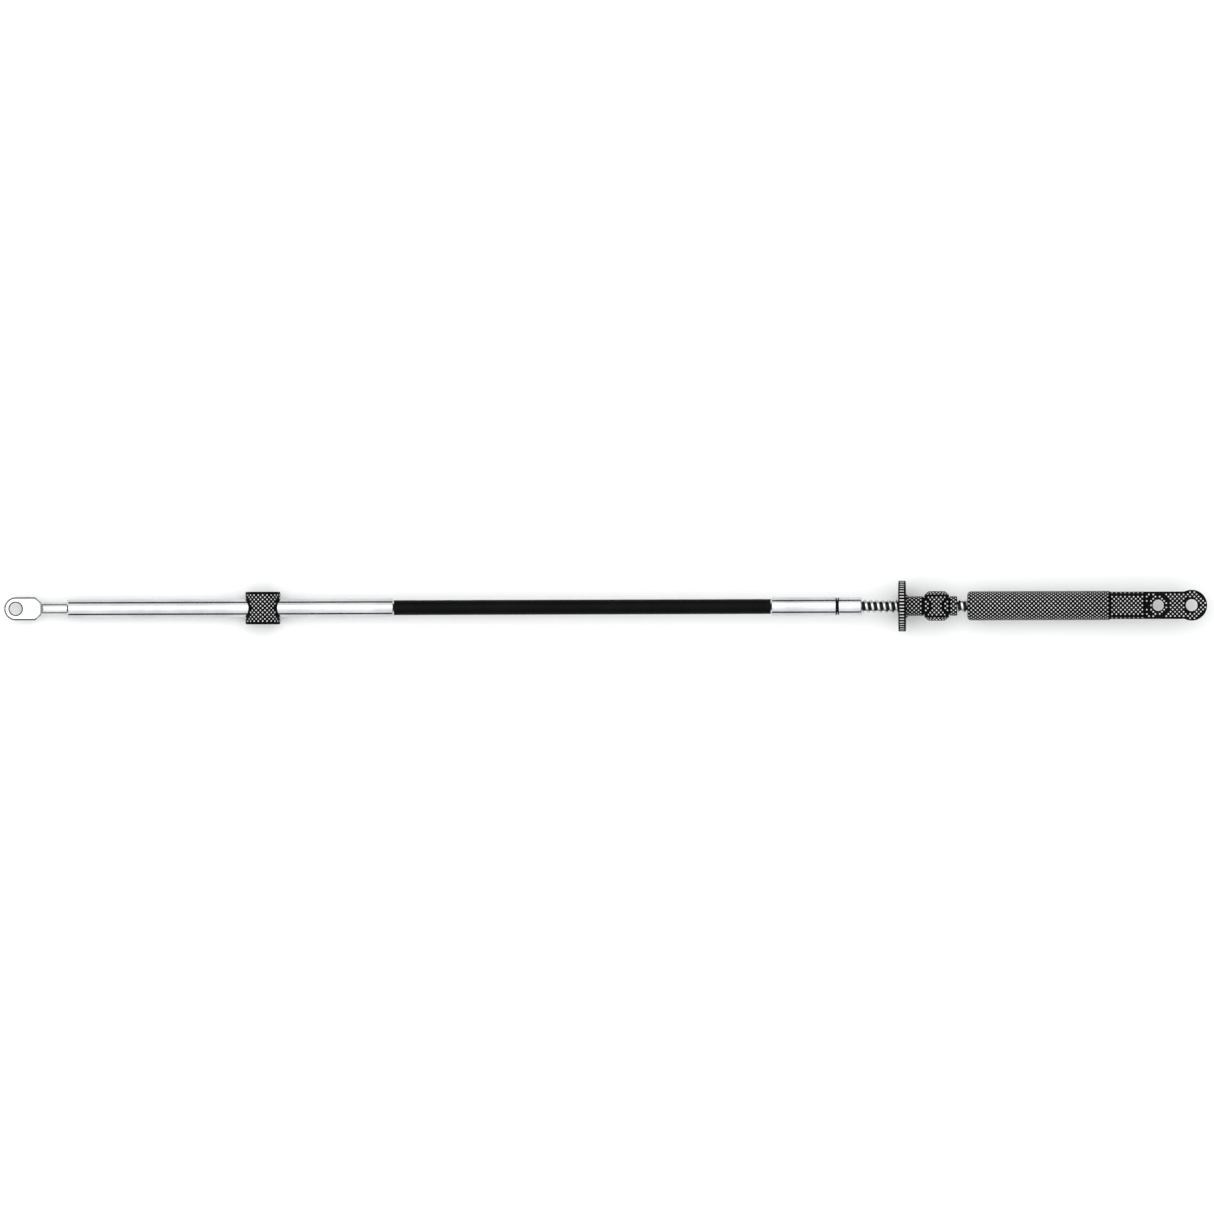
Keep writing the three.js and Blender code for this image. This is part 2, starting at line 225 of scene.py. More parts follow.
def combine(obj: Object, tool: Object, how: Join) -> Object:
    """Joins or cuts a solid with another, which is used up."""
    only(obj)
    change = obj.modifiers.new("combine", "BOOLEAN")
    change.operation = how.value
    change.solver = "EXACT"
    change.object = tool
    bpy.ops.object.modifier_apply(modifier=change.name)
    bpy.data.objects.remove(tool)
    return obj


def merge(obj: Object, other: Object) -> Object:
    """Joins a second mesh to the first as it is."""
    only(obj)
    other.select_set(True)
    bpy.ops.object.join()
    return obj


def pick(obj: Object, wanted: Callable[[int, Vector], bool]) -> None:
    """Selects the vertices that a rule wants, by number and place, and stays in edit mode."""
    only(obj)
    bpy.ops.object.mode_set(mode="EDIT")
    bpy.ops.mesh.select_mode(type="VERT")
    bpy.ops.mesh.select_all(action="DESELECT")
    bpy.ops.object.mode_set(mode="OBJECT")
    for vertex in obj.data.vertices:
        vertex.select = wanted(vertex.index, vertex.co)
    bpy.ops.object.mode_set(mode="EDIT")


def soften(obj: Object, width: float, segments: int = 2) -> Object:
    """Rounds a piece's sharp edges by a width in mm, as casting or tumbling leaves them."""
    only(obj)
    bevel = obj.modifiers.new("soften", "BEVEL")
    bevel.width = width
    bevel.segments = segments
    bevel.limit_method = "ANGLE"
    bevel.angle_limit = SMOOTH_ANGLE
    bpy.ops.object.modifier_apply(modifier=bevel.name)
    return obj


def lay_down(obj: Object) -> None:
    """Moves a finished piece from the cable's millimetres into the stored frame and smooths it."""
    obj.matrix_world = LIE
    settle(obj)
    bpy.ops.object.shade_smooth_by_angle(angle=SMOOTH_ANGLE)
    flats = obj.modifiers.new("flats", "WEIGHTED_NORMAL")
    flats.keep_sharp = True
    flats.weight = 100
    bpy.ops.object.modifier_apply(modifier=flats.name)


def finish_piece(obj: Object, body: Body, slot: str, finish: "Finish", *nodes: str) -> None:
    """Lays a piece down and ties it to its body, finish and CAD nodes.

    Args:
        obj: the piece, in the cable's millimetres.
        body: the body that it rides on.
        slot: the record's slot that its finish comes from; not used.
        finish: its main finish.
        nodes: the CAD nodes that it stands for.
    """
    lay_down(obj)
    material = MATERIALS[finish.name]
    if obj.data.materials:
        obj.data.materials[0] = material
    else:
        obj.data.materials.append(material)
    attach(obj, body.value)
    if nodes:
        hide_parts(*nodes)
    log.info("%s: %d faces on %s", obj.name, len(obj.data.polygons), body.value)


def paint(obj: Object, main: "Finish", other: "Finish", wanted: Callable[[Vector], bool]) -> None:
    """Gives a piece two finishes, the second on each face whose middle a rule wants."""
    for finish in (main, other):
        obj.data.materials.append(MATERIALS[finish.name])
    for face in obj.data.polygons:
        face.material_index = int(wanted(face.center))


def linear(hex_colour: str) -> tuple[float, float, float, float]:
    """Turns an sRGB hex colour into Blender's linear one."""
    parts = [int(hex_colour[i : i + 2], 16) / 255 for i in (1, 3, 5)]
    made = [part / 12.92 if part <= 0.04045 else ((part + 0.055) / 1.055) ** 2.4 for part in parts]
    return (*made, 1.0)


def add_node(
    tree: bpy.types.NodeTree, kind: str, inputs: dict | None = None, **settings: object
) -> bpy.types.Node:
    """Adds one node with its settings and links.

    Args:
        tree: the node tree.
        kind: the node's type name, without the word Shader at its head.
        inputs: a value, or an output to link, for each input by name or number.
        settings: the node's own settings.

    Returns:
        The new node.
    """
    node = tree.nodes.new("Shader" + kind)
    for name, value in settings.items():
        setattr(node, name, value)
    for name, value in (inputs or {}).items():
        if isinstance(value, bpy.types.NodeSocket):
            tree.links.new(value, node.inputs[name])
        else:
            node.inputs[name].default_value = value
    return node


# Colour of the shade painted into the thread's roots.
PAINTED_SHADE_COLOUR = "#1B1A19"
# Broad mottling of every finish: its size in mm, and the noise where its two colours stand clear.
CLOUD_MM = 14
CLOUD_SPAN = (0.35, 0.75)
# The noise that gives a grain its lowest and highest roughness, and how strongly its relief shows.
GRAIN_SPAN = (0.3, 0.7)
RELIEF_STRENGTH = 0.5


@dataclass(frozen=True)
class Finish:
    """One real material and how its surface was made, with any shade painted on it.

    Attributes:
        name: the material's name.
        colour: its main sRGB colour.
        worn: the sRGB colour of its lighter patches.
        metallic: 1 for bare metal and 0 for plastic.
        roughness: its lowest and highest roughness.
        grain_mm: the size of its surface grain along the cable, and round it.
        relief_mm: how deep the grain looks.
        specular: the specular level.
        painted_shade_mm: the distances from the cable's axis where painted shade ends and unshaded metal
            begins, if it has any.
    """

    name: str
    colour: str
    worn: str
    metallic: float
    roughness: tuple[float, float]
    grain_mm: tuple[float, float]
    relief_mm: float
    specular: float = 0.5
    painted_shade_mm: tuple[float, float] | None = None

    def paint_shade_near_axis(self, tree: bpy.types.NodeTree, place: Socket, colour: Socket) -> Socket:
        """Paints shade on what lies near the cable's axis, darkening the thread's roots.

        Args:
            tree: the material's node tree.
            place: the place on the cable.
            colour: the unshaded colour.

        Returns:
            The colour, with painted shade up to the first radius of painted_shade_mm and unshaded from the
            second.
        """
        across = add_node(tree, "NodeVectorMath", {0: place, 1: (0, 1, 1)}, operation="MULTIPLY")
        radius = add_node(tree, "NodeVectorMath", {0: across.outputs["Vector"]}, operation="LENGTH")
        low, high = self.painted_shade_mm
        unshaded = add_node(
            tree,
            "NodeMapRange",
            {"Value": radius.outputs["Value"], "From Min": low * MM, "From Max": high * MM},
        )
        mixed = add_node(
            tree,
            "NodeMix",
            {"Factor": unshaded.outputs["Result"], "A": linear(PAINTED_SHADE_COLOUR), "B": colour},
            data_type="RGBA",
        )
        return mixed.outputs["Result"]

    def build(self) -> bpy.types.Material:
        """Builds the material with its grain turned along the cable."""
        material = bpy.data.materials.new(self.name)
        material.use_nodes = True
        tree = material.node_tree
        shader = tree.nodes["Principled BSDF"]
        shader.inputs["Metallic"].default_value = self.metallic
        shader.inputs["Specular IOR Level"].default_value = self.specular
        along, round_it = self.grain_mm
        place = add_node(tree, "NodeTexCoord").outputs["Object"]
        level = add_node(
            tree, "NodeMapping", {"Vector": place, "Rotation": (0, LEAN, 0), "Location": TO_EYE}
        ).outputs["Vector"]
        grain_place = add_node(
            tree,
            "NodeMapping",
            {"Vector": level, "Scale": (1 / (along * MM), 1 / (round_it * MM), 1 / (round_it * MM))},
        ).outputs["Vector"]
        grain = add_node(
            tree, "NodeTexNoise", {"Vector": grain_place, "Scale": 1.0, "Detail": 4.0, "Roughness": 0.6}
        ).outputs["Fac"]
        cloud = add_node(
            tree, "NodeTexNoise", {"Vector": level, "Scale": 1 / (CLOUD_MM * MM), "Detail": 2.0}
        ).outputs["Fac"]
        tint = add_node(tree, "NodeValToRGB", {"Fac": cloud})
        stops = zip(tint.color_ramp.elements, CLOUD_SPAN, (self.colour, self.worn))
        for stop, position, shade in stops:
            stop.position = position
            stop.color = linear(shade)
        colour = tint.outputs["Color"]
        # Painted shade: darkens the base colour near the axis, in the roots of the thread.
        if self.painted_shade_mm:
            colour = self.paint_shade_near_axis(tree, level, colour)
        tree.links.new(colour, shader.inputs["Base Color"])
        noise = {"Value": grain, "From Min": GRAIN_SPAN[0], "From Max": GRAIN_SPAN[1]}
        sheen = {"To Min": self.roughness[0], "To Max": self.roughness[1]}
        rough = add_node(tree, "NodeMapRange", noise | sheen).outputs["Result"]
        tree.links.new(rough, shader.inputs["Roughness"])
        raised = {"Height": grain, "Strength": RELIEF_STRENGTH, "Distance": self.relief_mm * MM}
        bump = add_node(tree, "NodeBump", raised).outputs["Normal"]
        tree.links.new(bump, shader.inputs["Normal"])
        return material


LEAN = math.asin(LIE.col[0].z / MM)
TO_EYE = LIE.inverted().translation * MM

# Forged and tumbled stainless steel: bright, with a soft, even grain.
FORGED_STEEL = Finish(
    name="stainless_forged_tumbled",
    colour="#BABBBD",
    worn="#CBCCCD",
    metallic=1.0,
    roughness=(0.16, 0.26),
    grain_mm=(0.5, 0.5),
    relief_mm=0.01,
)
# Cold-drawn stainless tube: fine draw lines along it, drawn coarser than real so that they show.
DRAWN_STEEL = Finish(
    name="stainless_tube_drawn",
    colour="#BABBBD",
    worn="#CBCCCD",
    metallic=1.0,
    roughness=(0.12, 0.22),
    grain_mm=(30.0, 0.25),
    relief_mm=0.008,
)
# Cut thread: turning marks run round it, and shade is painted into its roots.
THREADED_STEEL = Finish(
    name="stainless_thread_cut",
    colour="#BFC0C2",
    worn="#D0D1D2",
    metallic=1.0,
    roughness=(0.14, 0.26),
    grain_mm=(0.12, 3.0),
    relief_mm=0.006,
    # Painted shade: dark in the thread's roots, fading out towards the crests.
    painted_shade_mm=(2.6, 3.1),
)
# Steel on the chamfers of a joint, painted dark and dull as the shade in the groove between them.
JOINT_SHADE_STEEL = Finish(
    name="stainless_painted_joint_shade",
    colour="#141312",
    worn="#1E1D1B",
    metallic=0.3,
    roughness=(0.5, 0.7),
    grain_mm=(0.4, 0.4),
    relief_mm=0.02,
    specular=0.1,
)
# Stranded core, dulled by its oil.
CORE_STEEL = Finish(
    name="steel_core_oiled",
    colour="#8D8F92",
    worn="#A5A7AA",
    metallic=1.0,
    roughness=(0.3, 0.45),
    grain_mm=(2.0, 0.2),
    relief_mm=0.02,
)
# Extruded polyethylene: smooth and slightly waxy, with faint draw marks along it.
POLYETHYLENE = Finish(
    name="polyethylene_extruded",
    colour="#060607",
    worn="#0B0B0C",
    metallic=0.0,
    roughness=(0.36, 0.48),
    grain_mm=(18.0, 0.5),
    relief_mm=0.012,
    specular=0.05,
)
# Glass-filled nylon, as moulded: satin, mottled by its fibres.
NYLON = Finish(
    name="nylon_glass_filled_moulded",
    colour="#050506",
    worn="#0B0B0C",
    metallic=0.0,
    roughness=(0.42, 0.6),
    grain_mm=(0.35, 0.35),
    relief_mm=0.02,
    specular=0.04,
)
# The same nylon rubbed pale by hands on its raised pips and ribs.
WORN_NYLON = Finish(
    name="nylon_rubbed_pale",
    colour="#C6C6C6",
    worn="#D2D2D2",
    metallic=0.0,
    roughness=(0.45, 0.6),
    grain_mm=(0.3, 0.3),
    relief_mm=0.01,
    specular=0.3,
)


@dataclass
class Pips:
    """A field of low moulded pips in staggered rows, pale on top.

    Attributes:
        pitch: the spacing along a row, in mm. Rows lie half of it apart.
        base: the radius of a pip's foot.
        crown: the radius of its pale top.
        height: how far it stands proud.
        sunk: how far its foot is let in.
        shoulder: where its side meets the crown, as a share of the height.
        dome: how much narrower the crown is at its top.
        sides: how many sides it has.
    """

    pitch: float = 2.3
    base: float = 0.53
    crown: float = 0.42
    height: float = 0.2
    sunk: float = 0.06
    shoulder: float = 0.7
    dome: float = 0.6
    sides: int = 8

    def one(self, name: str) -> Object:
        """Models one pip upright at the origin, with its crown in the second material."""
        bpy.ops.object.select_all(action="DESELECT")
        bpy.ops.mesh.primitive_circle_add(vertices=self.sides, radius=self.base, fill_type="NGON")
        obj = bpy.context.object
        obj.name = obj.data.name = name
        bpy.ops.object.mode_set(mode="EDIT")
        bpy.ops.mesh.select_all(action="SELECT")
        rise = (self.sunk + self.height * self.shoulder, self.height * (1 - self.shoulder))
        shrink = (self.crown / self.base, self.dome)
        top = -self.sunk
        bpy.ops.transform.translate(value=(0, 0, -self.sunk))
        for step, share in zip(rise, shrink):
            top += step
            bpy.ops.mesh.extrude_region_move(TRANSFORM_OT_translate={"value": (0, 0, step)})
            bpy.ops.transform.resize(value=(share, share, 1), center_override=(0, 0, top))
        leave_edit_mode()
        top = self.height * self.shoulder - NEAR
        paint(obj, NYLON, WORN_NYLON, lambda middle: middle.z > top)
        return obj

    def spread(self, obj: Object, count: int, step: Vector) -> None:
        """Repeats a piece along a straight step."""
        only(obj)
        array = obj.modifiers.new("spread", "ARRAY")
        array.use_relative_offset = False
        array.use_constant_offset = True
        array.constant_offset_displace = step
        array.count = count
        bpy.ops.object.modifier_apply(modifier=array.name)

    def wrap(self, obj: Object, count: int) -> None:
        """Repeats a piece in a ring round the cable's axis."""
        hub = bpy.data.objects.new("wrap_centre", None)
        bpy.context.scene.collection.objects.link(hub)
        hub.rotation_euler.x = 2 * math.pi / count
        bpy.context.view_layer.update()
        only(obj)
        array = obj.modifiers.new("wrap", "ARRAY")
        array.use_relative_offset = False
        array.use_object_offset = True
        array.offset_object = hub
        array.count = count
        bpy.ops.object.modifier_apply(modifier=array.name)
        bpy.data.objects.remove(hub)

    def stagger(self, obj: Object, move: Vector, turn: float = 0.0) -> Object:
        """Adds a second copy of a field, moved and turned by half a step, and joins the two."""
        only(obj)
        bpy.ops.object.duplicate()
        twin = bpy.context.object
        twin.location = move
        twin.rotation_euler.x = turn
        return merge(obj, settle(twin))

    def round_count(self, radius: float) -> int:
        """Gives how many pips stand in a ring."""
        return round(2 * math.pi * radius / self.pitch)

    def round_field(self, name: str, start: float, length: float, radius: float) -> Object:
        """Covers a round stretch of the cable with pips.

        Args:
            name: the field's name.
            start: where the stretch begins, in mm.
            length: how long it is.
            radius: the radius of the surface.

        Returns:
            The field, in the cable's millimetres.
        """
        obj = self.one(name)
        obj.location = (start, 0, radius)
        settle(obj)
        count = self.round_count(radius)
        self.wrap(obj, count)
        self.spread(obj, int(length / self.pitch) + 1, Vector((self.pitch, 0, 0)))
        return self.stagger(obj, Vector((self.pitch / 2, 0, 0)), math.pi / count)

    def flat_field(self, name: str, low: Vector, high: Vector) -> Object:
        """Covers a flat rectangle facing up, between two corners at the surface's height."""
        obj = self.one(name)
        rows = round((high.y - low.y) / self.pitch)
        obj.location = low
        settle(obj)
        self.spread(obj, int((high.x - low.x) / self.pitch) + 1, Vector((self.pitch, 0, 0)))
        self.spread(obj, rows + 1, Vector((0, self.pitch, 0)))
        return self.stagger(obj, Vector((self.pitch / 2, self.pitch / 2, 0)))

    def keep(self, obj: Object, allowed: Callable[[Vector], bool]) -> None:
        """Deletes each pip whose middle isn't where the rule allows one."""
        size = 3 * self.sides
        places = [vertex.co.copy() for vertex in obj.data.vertices]
        middles = [
            sum(places[first : first + size], Vector()) / size for first in range(0, len(places), size)
        ]
        unwanted = [not allowed(middle) for middle in middles]
        pick(obj, lambda index, _: unwanted[index // size])
        bpy.ops.mesh.delete(type="VERT")
        bpy.ops.object.mode_set(mode="OBJECT")

    def turn_under(self, obj: Object) -> None:
        """Adds the same field on the underside of a flat piece."""
        self.stagger(obj, Vector(), math.pi)

    def sloped_ring(
        self, pips: Object, count: int, place: tuple[float, float], lean: float, step: int
    ) -> None:
        """Adds one ring of pips to a field, on a sloped edge beside it.

        Args:
            pips: the round field.
            count: how many pips the ring has.
            place: where the ring lies, along the cable and out from it.
            lean: how far the surface there leans along the cable, in radians.
            step: how many half steps the ring is turned.
        """
        obj = self.one("ring")
        obj.rotation_euler.y = lean
        obj.location = (place[0], 0, place[1])
        settle(obj)
        self.wrap(obj, count)
        obj.rotation_euler.x = math.pi / count * (step % 2)
        merge(pips, settle(obj))

    def curved_ring(
        self, pips: Object, count: int, centre: tuple[float, float], size: float, lean: float
    ) -> None:
        """Adds one ring of pips to a field, on the rounded edge or the fillet beside it.

        Args:
            pips: the round field.
            count: how many pips the ring has.
            centre: the middle of the edge's round, along the cable and out from it.
            size: the radius of the round, or less than 0 for a fillet, which is hollow.
            lean: how far the surface there leans along the cable, in degrees.
        """
        angle = math.radians(lean)
        place = (centre[0] + size * math.sin(angle), centre[1] + size * math.cos(angle))
        step = round(abs(angle * size) / (self.pitch / 2))
        self.sloped_ring(pips, count, place, angle, step)


MATERIALS = {
    finish.name: finish.build()
    for finish in (
        FORGED_STEEL,
        DRAWN_STEEL,
        THREADED_STEEL,
        JOINT_SHADE_STEEL,
        CORE_STEEL,
        POLYETHYLENE,
        NYLON,
        WORN_NYLON,
    )
}


@dataclass
class ControlEnd:
    """The flat eye on its rod, the sleeve that it slides in, and the hub on the sleeve. Sizes in mm."""

    eye_radius: float = 6.1
    eye_hole: float = 3.175
    eye_thickness: float = 4.0
    straight: float = 10.3
    shoulder: float = 13.4
    run_out: float = 3.0
    rod_radius: float = 3.4
    rod_end: float = 87.2
    rod_edge: float = 0.5
    socket: float = 15.0
    socket_radius: float = 1.8
    sleeve_start: float = 27.2
    sleeve_length: float = 173.6
    sleeve_radius: float = 4.9
    sleeve_bore: float = 3.7
    jacket_socket: float = 4.25
    socket_depth: float = 22.0
    hub_centre: float = 131.2
    hub_radius: float = 9.25
    hub_half: float = 8.65
    hub_bore: float = 5.2
    hub_dish: float = 1.1
    hub_edge: float = 0.8
    hub_bare_rim: float = 1.1
    hub_bare_mouth: float = 0.7
    forging_round: float = 0.08
    moulding_round: float = 0.2
    pips: Pips = field(default_factory=Pips)

    def eye_flat(self) -> Object:
        """Models the flat eye: half a circle drawn on to its shoulders, filled and raised."""
        bpy.ops.object.select_all(action="DESELECT")
        bpy.ops.mesh.primitive_circle_add(vertices=96, radius=self.eye_radius, fill_type="NOTHING")
        obj = bpy.context.object
        obj.name = obj.data.name = "eye"
        pick(obj, lambda _, at: at.x > NEAR)
        bpy.ops.mesh.delete(type="VERT")
        bpy.ops.object.mode_set(mode="OBJECT")
        pick(obj, lambda _, at: at.x > -NEAR)
        narrow = self.rod_radius / self.eye_radius
        reach = self.shoulder - self.straight
        bpy.ops.mesh.extrude_region_move(TRANSFORM_OT_translate={"value": (self.straight, 0, 0)})
        bpy.ops.mesh.extrude_region_move(TRANSFORM_OT_translate={"value": (reach, 0, 0)})
        bpy.ops.transform.resize(value=(1, narrow, 1), center_override=(self.shoulder, 0, 0))
        bpy.ops.mesh.edge_face_add()
        bpy.ops.mesh.select_all(action="SELECT")
        bpy.ops.mesh.edge_face_add()
        wall = self.eye_thickness - 2 * EDGE_DROP
        bpy.ops.transform.translate(value=(0, 0, -wall / 2))
        bpy.ops.mesh.extrude_region_move(TRANSFORM_OT_translate={"value": (0, 0, wall)})
        leave_edit_mode()
        for up in (1, -1):
            pick(obj, lambda _, at, up=up: at.z * up > 0)
            bpy.ops.mesh.inset(thickness=EDGE, depth=EDGE_DROP)
            bpy.ops.object.mode_set(mode="OBJECT")
        return obj

    def pin_hole(self) -> Object:
        """Turns the drill for the pin hole, with a broken edge at both faces, and stands it upright."""
        face = self.eye_thickness / 2
        past = face + 1
        mouth = self.eye_hole + EDGE * (past - face + EDGE_DROP) / EDGE_DROP
        inner = face - EDGE_DROP
        drill = turned(
            "drill", [(-past, mouth), (-inner, self.eye_hole), (inner, self.eye_hole), (past, mouth)]
        )
        drill.rotation_euler.y = math.pi / 2
        return settle(drill)

    def rod(self) -> Object:
        """Turns the rod, planes its end to two slopes that run out into the round, and bores its socket."""
        start = self.straight + 1.0
        end = self.rod_end
        broken = self.rod_edge
        obj = turned("rod", [(start, self.rod_radius), (end, self.rod_radius, broken), (end, broken)])
        rise = self.rod_radius - self.eye_thickness / 2
        only(obj)
        bpy.ops.object.mode_set(mode="EDIT")
        for up in (1, -1):
            bpy.ops.mesh.select_all(action="SELECT")
            bpy.ops.mesh.bisect(
                plane_co=(self.shoulder, 0, up * self.eye_thickness / 2),
                plane_no=(-rise, 0, up * self.run_out),
                use_fill=True,
                clear_outer=True,
            )
        bpy.ops.object.mode_set(mode="OBJECT")
        hole = [(end - self.socket, self.socket_radius), (end + 1, self.socket_radius)]
        return combine(obj, turned("socket", hole, 48), Join.CUT)

    def eye_terminal(self) -> None:
        """Joins eye and rod, drills the pin hole and softens the edges."""
        obj = combine(self.eye_flat(), self.rod(), Join.ADD)
        combine(obj, self.pin_hole(), Join.CUT)
        soften(obj, self.forging_round)
        obj.name = "eye_terminal_forged"
        finish_piece(obj, Body.EYE, "forged_steel", FORGED_STEEL, "eye_terminal")

    def sleeve(self) -> None:
        """Turns the sleeve, chamfered at the rod's end and rolled in a little on the conduit."""
        start, end = self.sleeve_start, self.sleeve_start + self.sleeve_length
        outline = [
            (start, self.sleeve_bore, 0.25),
            (start, self.sleeve_radius - EDGE_DROP),
            (start + EDGE, self.sleeve_radius),
            (end - EDGE, self.sleeve_radius),
            (end, self.sleeve_radius - EDGE_DROP),
            (end, self.jacket_socket),
            (end - self.socket_depth, self.jacket_socket),
            (end - self.socket_depth, self.sleeve_bore),
        ]
        obj = turned("control_end_sleeve_tube", outline, hollow=True)
        finish_piece(obj, Body.CONDUIT, "drawn_steel", DRAWN_STEEL, "control_end_sleeve")

    def hub_body(self) -> Object:
        """Turns the hub across the cable, and cuts its hole with mouths that open out."""
        half, radius, edge = self.hub_half, self.hub_radius, self.hub_edge
        inside = radius - 2
        outline = [(-half, inside), (-half, radius, edge), (half, radius, edge), (half, inside)]
        obj = turn_across(turned("trunnion_hub_moulding", outline))
        past = self.hub_radius + self.hub_dish
        wide = self.hub_bore + 2 * self.hub_dish
        hole = turned(
            "hub_hole",
            [
                (-past, wide),
                (-past + 2 * self.hub_dish, self.hub_bore),
                (past - 2 * self.hub_dish, self.hub_bore),
                (past, wide),
            ],
        )
        combine(obj, hole, Join.CUT)
        return move_along(soften(obj, self.moulding_round), self.hub_centre)

    def hub(self) -> None:
        """Finishes the hub and covers its round side with pips."""
        finish_piece(self.hub_body(), Body.CONDUIT, "moulded_nylon", NYLON, "trunnion_hub")
        edge = self.hub_half - self.hub_bare_rim
        pitch = self.pips.pitch
        dotted = int(2 * edge / pitch) * pitch
        pips = self.pips.round_field("trunnion_hub_pips", -dotted / 2, dotted, self.hub_radius)
        turn_across(pips)
        clear = self.hub_bore + self.hub_dish + self.hub_bare_mouth
        self.pips.keep(pips, lambda at: abs(at.y) < edge and math.hypot(at.y, at.z) > clear)
        finish_piece(move_along(pips, self.hub_centre), Body.CONDUIT, "moulded_nylon", NYLON)

    def build(self) -> None:
        """Builds the whole control end."""
        self.eye_terminal()
        self.sleeve()
        self.hub()


@dataclass
class Conduit:
    """The black conduit and the core inside it. Sizes in mm."""

    mouth: float = 200.8
    shown: float = 200.0
    into_sleeve: float = 21.7
    into_crimp: float = 23.7
    radius: float = 3.95
    steps: int = 24

    def build(self) -> None:
        start, end = self.mouth - self.into_sleeve, self.mouth + self.shown + self.into_crimp
        stations = [start + (end - start) * step / self.steps for step in range(self.steps + 1)]
        obj = turned("conduit_jacket_extruded", [(at, self.radius) for at in stations], 64)
        finish_piece(obj, Body.CONDUIT, "extruded_polyethylene", POLYETHYLENE, "conduit_jacket")
        core = frame["nodes"]["core_wire"]
        core.data.materials.clear()
        core.data.materials.append(MATERIALS[CORE_STEEL.name])


@dataclass
class EngineEnd:
    """The crimp sleeve, and the threaded tube with its collar. Sizes in mm."""

    crimp_start: float = 400.8
    crimp_length: float = 35.2
    radius: float = 4.9
    jacket_socket: float = 4.25
    jacket_depth: float = 24.0
    passage: float = 1.85
    spigot: float = 3.3
    spigot_socket: float = 3.6
    spigot_length: float = 8.0
    collar_start: float = 436.3
    collar_length: float = 13.0
    thread_length: float = 76.0
    crest: float = 3.5
    root: float = 2.5
    pitch: float = 3.175
    crest_flat: float = 1.05
    flank: float = 0.6
    thread_round: float = 0.18
    thread_sides: int = 40
    joint_gap: float = 0.3
    collar_round: float = 1.1
    overlap: float = 0.4
    # How far the painted shade at the joint reaches on to each chamfer.
    joint_shade_width: float = 0.9 * EDGE

    def crimp_sleeve(self) -> None:
        """Turns the crimp sleeve, chamfered where it meets the collar, with painted shade on that chamfer.
        """
        start, end = self.crimp_start, self.crimp_start + self.crimp_length
        stop = end - self.spigot_length - self.joint_gap
        outline = [
            (start, self.jacket_socket),
            (start, self.radius - EDGE_DROP),
            (start + EDGE, self.radius),
            (end - EDGE, self.radius),
            (end, self.radius - EDGE_DROP),
            (end, self.spigot_socket),
            (stop, self.spigot_socket),
            (stop, self.passage),
            (start + self.jacket_depth, self.passage),
            (start + self.jacket_depth, self.jacket_socket),
        ]
        obj = turned("engine_end_sleeve_tube", outline, hollow=True)
        # Painted shade: the chamfer that meets the collar is coloured dark as the groove's shade.
        joint = end - self.joint_shade_width
        paint(obj, DRAWN_STEEL, JOINT_SHADE_STEEL, lambda middle: middle.x > joint)
        finish_piece(obj, Body.CONDUIT, "drawn_steel", DRAWN_STEEL, "engine_end_sleeve")

    def screw(self) -> Object:
        """Sweeps one pitch of the thread's outline round and along, and squares off both ends."""
        start = self.collar_start + self.collar_length
        rise = (self.pitch - self.crest_flat - 2 * self.flank) / 2
        bend = self.thread_round
        outline = rounded(
            [
                (0, self.root),
                (rise, self.root, bend),
                (rise + self.flank, self.crest, bend),
                (rise + self.flank + self.crest_flat, self.crest, bend),
                (rise + 2 * self.flank + self.crest_flat, self.root, bend),
                (self.pitch, self.root),
            ],
            2,
        )
        turns = math.ceil(self.thread_length / self.pitch) + 2
        bpy.ops.object.select_all(action="DESELECT")
        bpy.ops.mesh.primitive_plane_add(size=1)
        obj = bpy.context.object
        obj.name = obj.data.name = "screw"
        bpy.ops.object.mode_set(mode="EDIT")
        bpy.ops.mesh.select_all(action="SELECT")
        bpy.ops.mesh.merge(type="CENTER")
        bpy.ops.transform.translate(value=(start - self.pitch, outline[0][1], 0))
        for (last_along, last_radius), (along, radius) in zip(outline, outline[1:]):
            step = (along - last_along, radius - last_radius, 0)
            bpy.ops.mesh.extrude_region_move(TRANSFORM_OT_translate={"value": step})
        bpy.ops.object.mode_set(mode="OBJECT")
        sweep = obj.modifiers.new("sweep", "SCREW")
        sweep.axis = "X"
        sweep.angle = 2 * math.pi
        sweep.screw_offset = self.pitch
        sweep.iterations = turns
        sweep.steps = sweep.render_steps = self.thread_sides
        sweep.use_merge_vertices = True
        sweep.merge_threshold = NEAR
        bpy.ops.object.modifier_apply(modifier=sweep.name)
        bpy.ops.object.mode_set(mode="EDIT")
        bpy.ops.mesh.select_all(action="SELECT")
        bpy.ops.mesh.remove_doubles(threshold=10 * NEAR)
        for at, facing in ((start - self.overlap, -1), (start + self.thread_length, 1)):
            bpy.ops.mesh.select_all(action="SELECT")
            bpy.ops.mesh.bisect(
                plane_co=(at, 0, 0), plane_no=(facing, 0, 0), use_fill=True, clear_outer=True
            )
        leave_edit_mode()
        return obj

    def threaded_tube(self) -> None:
        """Turns the collar and its spigot, joins the screw to them and bores the passage for the core."""
        start, end = self.collar_start, self.collar_start + self.collar_length
        outline = [
            (start - self.spigot_length, self.spigot),
            (start, self.spigot),
            (start, self.radius - EDGE_DROP),
            (start + EDGE, self.radius),
            (end, self.radius, self.collar_round),
            (end, self.root),
        ]
        obj = turned("threaded_tube_cut", outline)
